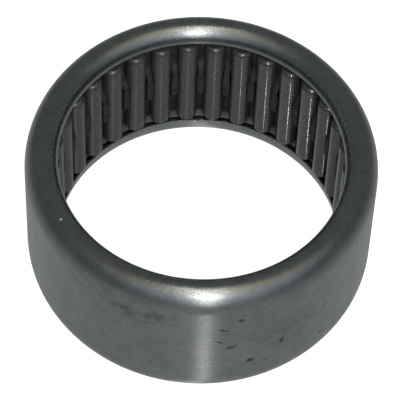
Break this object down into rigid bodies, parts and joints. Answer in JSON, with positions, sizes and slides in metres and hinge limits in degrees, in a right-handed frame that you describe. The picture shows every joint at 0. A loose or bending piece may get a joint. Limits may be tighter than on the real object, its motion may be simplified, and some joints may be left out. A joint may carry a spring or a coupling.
{
  "type": "needle roller bearing",
  "caption": "Open-ended drawn-cup needle roller bearing: a steel cup with turned-in lips holds caged needle rollers that run directly on a shaft.",
  "frame": {"origin": "centre of the bearing, on the shaft axis, half way between its two end faces", "axes": "+Z along the shaft axis; +X through the middle of the first roller; +Y completes the right-handed frame"},
  "size_m": [0.05, 0.05, 0.025],
  "materials": {
    "cup_steel": "case-hardened drawn steel, dark grey, semi-gloss, finely ground outside",
    "cage_steel": "hardened sheet steel, dark grey, dull, oily",
    "roller_steel": "ground and tumbled bearing steel, smooth, lightly oiled"
  },
  "bodies": {
    "cup": {"outer_cup": "cup_steel"},
    "cage_ring": {"cage": "cage_steel"},
    "roller_01_body": {"roller_01": "roller_steel"},
    "roller_02_body": {"roller_02": "roller_steel"},
    "roller_03_body": {"roller_03": "roller_steel"},
    "roller_04_body": {"roller_04": "roller_steel"},
    "roller_05_body": {"roller_05": "roller_steel"},
    "roller_06_body": {"roller_06": "roller_steel"},
    "roller_07_body": {"roller_07": "roller_steel"},
    "roller_08_body": {"roller_08": "roller_steel"},
    "roller_09_body": {"roller_09": "roller_steel"},
    "roller_10_body": {"roller_10": "roller_steel"},
    "roller_11_body": {"roller_11": "roller_steel"},
    "roller_12_body": {"roller_12": "roller_steel"},
    "roller_13_body": {"roller_13": "roller_steel"},
    "roller_14_body": {"roller_14": "roller_steel"},
    "roller_15_body": {"roller_15": "roller_steel"},
    "roller_16_body": {"roller_16": "roller_steel"},
    "roller_17_body": {"roller_17": "roller_steel"},
    "roller_18_body": {"roller_18": "roller_steel"},
    "roller_19_body": {"roller_19": "roller_steel"},
    "roller_20_body": {"roller_20": "roller_steel"},
    "roller_21_body": {"roller_21": "roller_steel"},
    "roller_22_body": {"roller_22": "roller_steel"},
    "roller_23_body": {"roller_23": "roller_steel"},
    "roller_24_body": {"roller_24": "roller_steel"},
    "roller_25_body": {"roller_25": "roller_steel"},
    "roller_26_body": {"roller_26": "roller_steel"},
    "roller_27_body": {"roller_27": "roller_steel"},
    "roller_28_body": {"roller_28": "roller_steel"},
    "roller_29_body": {"roller_29": "roller_steel"},
    "roller_30_body": {"roller_30": "roller_steel"},
    "roller_31_body": {"roller_31": "roller_steel"},
    "roller_32_body": {"roller_32": "roller_steel"},
    "roller_33_body": {"roller_33": "roller_steel"},
    "roller_34_body": {"roller_34": "roller_steel"}
  },
  "joints": [
    {"name": "cage_spin", "type": "hinge", "parent": "cup", "child": "cage_ring", "pos_m": [0, 0, 0], "axis": [0, 0, 1], "continuous": true},
    {"name": "roller_01_spin", "type": "hinge", "parent": "cage_ring", "child": "roller_01_body", "pos_m": [0.0215, 0, 0], "axis": [0, 0, 1], "continuous": true},
    {"name": "roller_02_spin", "type": "hinge", "parent": "cage_ring", "child": "roller_02_body", "pos_m": [0.02113, 0.00395, 0], "axis": [0, 0, 1], "continuous": true},
    {"name": "roller_03_spin", "type": "hinge", "parent": "cage_ring", "child": "roller_03_body", "pos_m": [0.02005, 0.00777, 0], "axis": [0, 0, 1], "continuous": true},
    {"name": "roller_04_spin", "type": "hinge", "parent": "cage_ring", "child": "roller_04_body", "pos_m": [0.01828, 0.01132, 0], "axis": [0, 0, 1], "continuous": true},
    {"name": "roller_05_spin", "type": "hinge", "parent": "cage_ring", "child": "roller_05_body", "pos_m": [0.01589, 0.01448, 0], "axis": [0, 0, 1], "continuous": true},
    {"name": "roller_06_spin", "type": "hinge", "parent": "cage_ring", "child": "roller_06_body", "pos_m": [0.01296, 0.01716, 0], "axis": [0, 0, 1], "continuous": true},
    {"name": "roller_07_spin", "type": "hinge", "parent": "cage_ring", "child": "roller_07_body", "pos_m": [0.00958, 0.01925, 0], "axis": [0, 0, 1], "continuous": true},
    {"name": "roller_08_spin", "type": "hinge", "parent": "cage_ring", "child": "roller_08_body", "pos_m": [0.00588, 0.02068, 0], "axis": [0, 0, 1], "continuous": true},
    {"name": "roller_09_spin", "type": "hinge", "parent": "cage_ring", "child": "roller_09_body", "pos_m": [0.00198, 0.02141, 0], "axis": [0, 0, 1], "continuous": true},
    {"name": "roller_10_spin", "type": "hinge", "parent": "cage_ring", "child": "roller_10_body", "pos_m": [-0.00198, 0.02141, 0], "axis": [0, 0, 1], "continuous": true},
    {"name": "roller_11_spin", "type": "hinge", "parent": "cage_ring", "child": "roller_11_body", "pos_m": [-0.00588, 0.02068, 0], "axis": [0, 0, 1], "continuous": true},
    {"name": "roller_12_spin", "type": "hinge", "parent": "cage_ring", "child": "roller_12_body", "pos_m": [-0.00958, 0.01925, 0], "axis": [0, 0, 1], "continuous": true},
    {"name": "roller_13_spin", "type": "hinge", "parent": "cage_ring", "child": "roller_13_body", "pos_m": [-0.01296, 0.01716, 0], "axis": [0, 0, 1], "continuous": true},
    {"name": "roller_14_spin", "type": "hinge", "parent": "cage_ring", "child": "roller_14_body", "pos_m": [-0.01589, 0.01448, 0], "axis": [0, 0, 1], "continuous": true},
    {"name": "roller_15_spin", "type": "hinge", "parent": "cage_ring", "child": "roller_15_body", "pos_m": [-0.01828, 0.01132, 0], "axis": [0, 0, 1], "continuous": true},
    {"name": "roller_16_spin", "type": "hinge", "parent": "cage_ring", "child": "roller_16_body", "pos_m": [-0.02005, 0.00777, 0], "axis": [0, 0, 1], "continuous": true},
    {"name": "roller_17_spin", "type": "hinge", "parent": "cage_ring", "child": "roller_17_body", "pos_m": [-0.02113, 0.00395, 0], "axis": [0, 0, 1], "continuous": true},
    {"name": "roller_18_spin", "type": "hinge", "parent": "cage_ring", "child": "roller_18_body", "pos_m": [-0.0215, 0, 0], "axis": [0, 0, 1], "continuous": true},
    {"name": "roller_19_spin", "type": "hinge", "parent": "cage_ring", "child": "roller_19_body", "pos_m": [-0.02113, -0.00395, 0], "axis": [0, 0, 1], "continuous": true},
    {"name": "roller_20_spin", "type": "hinge", "parent": "cage_ring", "child": "roller_20_body", "pos_m": [-0.02005, -0.00777, 0], "axis": [0, 0, 1], "continuous": true},
    {"name": "roller_21_spin", "type": "hinge", "parent": "cage_ring", "child": "roller_21_body", "pos_m": [-0.01828, -0.01132, 0], "axis": [0, 0, 1], "continuous": true},
    {"name": "roller_22_spin", "type": "hinge", "parent": "cage_ring", "child": "roller_22_body", "pos_m": [-0.01589, -0.01448, 0], "axis": [0, 0, 1], "continuous": true},
    {"name": "roller_23_spin", "type": "hinge", "parent": "cage_ring", "child": "roller_23_body", "pos_m": [-0.01296, -0.01716, 0], "axis": [0, 0, 1], "continuous": true},
    {"name": "roller_24_spin", "type": "hinge", "parent": "cage_ring", "child": "roller_24_body", "pos_m": [-0.00958, -0.01925, 0], "axis": [0, 0, 1], "continuous": true},
    {"name": "roller_25_spin", "type": "hinge", "parent": "cage_ring", "child": "roller_25_body", "pos_m": [-0.00588, -0.02068, 0], "axis": [0, 0, 1], "continuous": true},
    {"name": "roller_26_spin", "type": "hinge", "parent": "cage_ring", "child": "roller_26_body", "pos_m": [-0.00198, -0.02141, 0], "axis": [0, 0, 1], "continuous": true},
    {"name": "roller_27_spin", "type": "hinge", "parent": "cage_ring", "child": "roller_27_body", "pos_m": [0.00198, -0.02141, 0], "axis": [0, 0, 1], "continuous": true},
    {"name": "roller_28_spin", "type": "hinge", "parent": "cage_ring", "child": "roller_28_body", "pos_m": [0.00588, -0.02068, 0], "axis": [0, 0, 1], "continuous": true},
    {"name": "roller_29_spin", "type": "hinge", "parent": "cage_ring", "child": "roller_29_body", "pos_m": [0.00958, -0.01925, 0], "axis": [0, 0, 1], "continuous": true},
    {"name": "roller_30_spin", "type": "hinge", "parent": "cage_ring", "child": "roller_30_body", "pos_m": [0.01296, -0.01716, 0], "axis": [0, 0, 1], "continuous": true},
    {"name": "roller_31_spin", "type": "hinge", "parent": "cage_ring", "child": "roller_31_body", "pos_m": [0.01589, -0.01448, 0], "axis": [0, 0, 1], "continuous": true},
    {"name": "roller_32_spin", "type": "hinge", "parent": "cage_ring", "child": "roller_32_body", "pos_m": [0.01828, -0.01132, 0], "axis": [0, 0, 1], "continuous": true},
    {"name": "roller_33_spin", "type": "hinge", "parent": "cage_ring", "child": "roller_33_body", "pos_m": [0.02005, -0.00777, 0], "axis": [0, 0, 1], "continuous": true},
    {"name": "roller_34_spin", "type": "hinge", "parent": "cage_ring", "child": "roller_34_body", "pos_m": [0.02113, -0.00395, 0], "axis": [0, 0, 1], "continuous": true}
  ],
  "couplings": [
    {"joint": "roller_01_spin", "follows": "cage_spin", "ratio": -15.333},
    {"joint": "roller_02_spin", "follows": "cage_spin", "ratio": -15.333},
    {"joint": "roller_03_spin", "follows": "cage_spin", "ratio": -15.333},
    {"joint": "roller_04_spin", "follows": "cage_spin", "ratio": -15.333},
    {"joint": "roller_05_spin", "follows": "cage_spin", "ratio": -15.333},
    {"joint": "roller_06_spin", "follows": "cage_spin", "ratio": -15.333},
    {"joint": "roller_07_spin", "follows": "cage_spin", "ratio": -15.333},
    {"joint": "roller_08_spin", "follows": "cage_spin", "ratio": -15.333},
    {"joint": "roller_09_spin", "follows": "cage_spin", "ratio": -15.333},
    {"joint": "roller_10_spin", "follows": "cage_spin", "ratio": -15.333},
    {"joint": "roller_11_spin", "follows": "cage_spin", "ratio": -15.333},
    {"joint": "roller_12_spin", "follows": "cage_spin", "ratio": -15.333},
    {"joint": "roller_13_spin", "follows": "cage_spin", "ratio": -15.333},
    {"joint": "roller_14_spin", "follows": "cage_spin", "ratio": -15.333},
    {"joint": "roller_15_spin", "follows": "cage_spin", "ratio": -15.333},
    {"joint": "roller_16_spin", "follows": "cage_spin", "ratio": -15.333},
    {"joint": "roller_17_spin", "follows": "cage_spin", "ratio": -15.333},
    {"joint": "roller_18_spin", "follows": "cage_spin", "ratio": -15.333},
    {"joint": "roller_19_spin", "follows": "cage_spin", "ratio": -15.333},
    {"joint": "roller_20_spin", "follows": "cage_spin", "ratio": -15.333},
    {"joint": "roller_21_spin", "follows": "cage_spin", "ratio": -15.333},
    {"joint": "roller_22_spin", "follows": "cage_spin", "ratio": -15.333},
    {"joint": "roller_23_spin", "follows": "cage_spin", "ratio": -15.333},
    {"joint": "roller_24_spin", "follows": "cage_spin", "ratio": -15.333},
    {"joint": "roller_25_spin", "follows": "cage_spin", "ratio": -15.333},
    {"joint": "roller_26_spin", "follows": "cage_spin", "ratio": -15.333},
    {"joint": "roller_27_spin", "follows": "cage_spin", "ratio": -15.333},
    {"joint": "roller_28_spin", "follows": "cage_spin", "ratio": -15.333},
    {"joint": "roller_29_spin", "follows": "cage_spin", "ratio": -15.333},
    {"joint": "roller_30_spin", "follows": "cage_spin", "ratio": -15.333},
    {"joint": "roller_31_spin", "follows": "cage_spin", "ratio": -15.333},
    {"joint": "roller_32_spin", "follows": "cage_spin", "ratio": -15.333},
    {"joint": "roller_33_spin", "follows": "cage_spin", "ratio": -15.333},
    {"joint": "roller_34_spin", "follows": "cage_spin", "ratio": -15.333}
  ]
}
